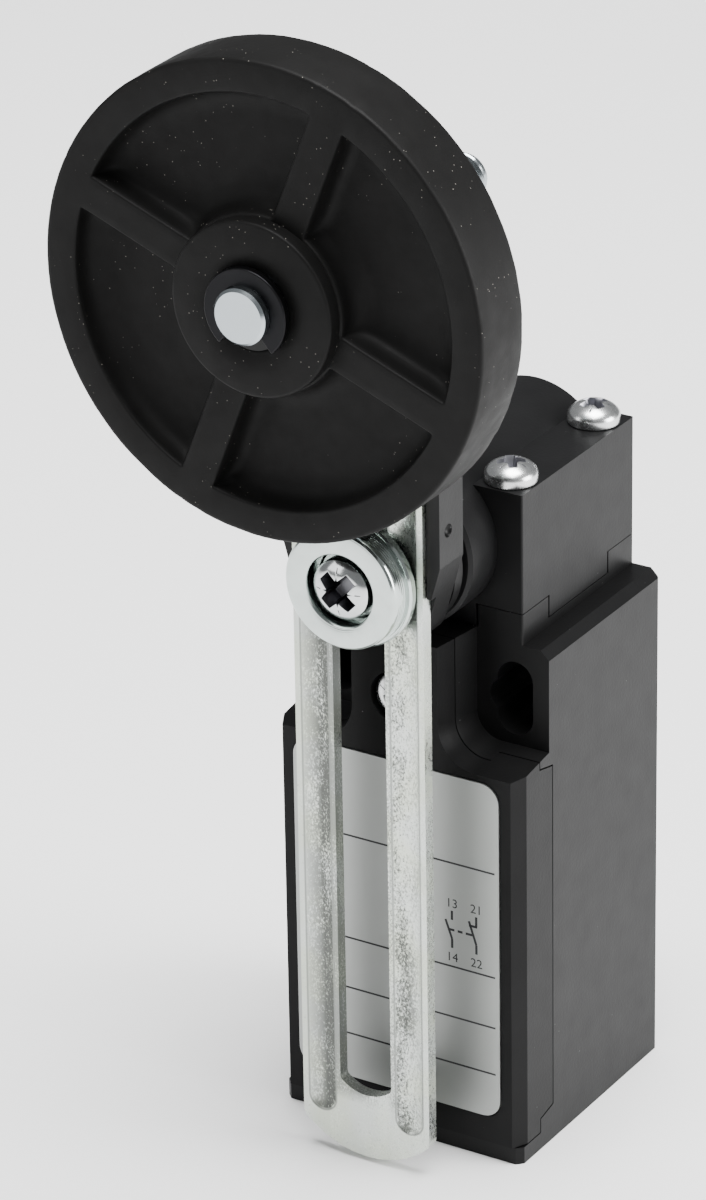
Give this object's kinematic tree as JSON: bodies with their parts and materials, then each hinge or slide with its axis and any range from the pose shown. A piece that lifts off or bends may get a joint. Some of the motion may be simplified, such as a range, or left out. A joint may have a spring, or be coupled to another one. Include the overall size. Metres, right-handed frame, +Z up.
{
  "type": "roller lever limit switch",
  "caption": "Limit switch: black box housing, cable entry below, head with rotary shaft and a slotted steel lever that carries a large roller wheel.",
  "frame": {"origin": "centre of the cable entry at its mouth on the bottom face, on the plunger axis", "axes": "+Z up along the plunger axis, from the cable entry to the wheel; +X to the right seen from the cover; -Y towards the cover, lever and wheel; +Y towards the mounting face"},
  "size_m": [0.0508, 0.0587, 0.1319],
  "materials": {
    "housing_black": "moulded, fine texture",
    "cover_black": "moulded, fine texture",
    "head_black": "moulded, satin",
    "hub_black": "moulded, satin",
    "wheel_black": "moulded, matte",
    "plate_silver": "satin",
    "zinc_steel": "zinc plated",
    "turned_steel": "turned, zinc plated",
    "screw_steel": "zinc plated",
    "shaft_steel": "ground",
    "spring_steel": "drawn wire",
    "seal_rubber": "matte",
    "sintered_bush": "sintered",
    "contact_metal": "silver plated tips",
    "block_plastic": "moulded",
    "slider_plastic": "moulded"
  },
  "bodies": {
    "body": {"housing": "housing_black", "front_cover": "cover_black", "cover_gasket": "seal_rubber", "cover_screw": "screw_steel", "name_plate": "plate_silver", "head": "head_black", "head_seal": "seal_rubber", "head_screws": "screw_steel", "shaft_bush": "sintered_bush", "shaft_seal": "seal_rubber", "return_spring": "spring_steel", "contact_base": "block_plastic", "block_screws": "screw_steel", "break_terminals": "contact_metal", "make_terminals": "contact_metal", "terminal_plates": "screw_steel", "terminal_screws": "screw_steel"},
    "plunger": {"head_plunger": "slider_plastic", "contact_carrier": "slider_plastic", "break_bridge": "contact_metal", "make_bridge": "contact_metal", "contact_springs": "spring_steel"},
    "lever_shaft_set": {"lever_shaft": "shaft_steel", "shaft_clip": "spring_steel", "cam": "slider_plastic", "lever_hub": "hub_black", "clamp_washer": "turned_steel", "clamp_screw": "screw_steel"},
    "lever_arm_set": {"lever_arm": "zinc_steel", "axle": "turned_steel", "axle_nuts": "zinc_steel", "axle_washers": "zinc_steel", "wheel_circlip": "spring_steel"},
    "wheel_set": {"wheel": "wheel_black", "wheel_bush": "slider_plastic"}
  },
  "joints": [
    {"name": "lever_turn", "type": "hinge", "parent": "body", "child": "lever_shaft_set", "pos_m": [0, -0.01, 0.0697], "axis": [0, 1, 0], "range_deg": [-75, 75], "stiffness_Nm_per_rad": 0.12},
    {"name": "arm_slide", "type": "slide", "parent": "lever_shaft_set", "child": "lever_arm_set", "axis": [0, 0, 1], "range_m": [-0.015, 0.055]},
    {"name": "wheel_spin", "type": "hinge", "parent": "lever_arm_set", "child": "wheel_set", "pos_m": [0, -0.0387, 0.1065], "axis": [0, 1, 0], "continuous": true},
    {"name": "plunger_slide", "type": "slide", "parent": "body", "child": "plunger", "axis": [0, 0, 1], "range_m": [-0.002, 0], "stiffness_N_per_m": 800, "deforming": ["return_spring"]}
  ]
}
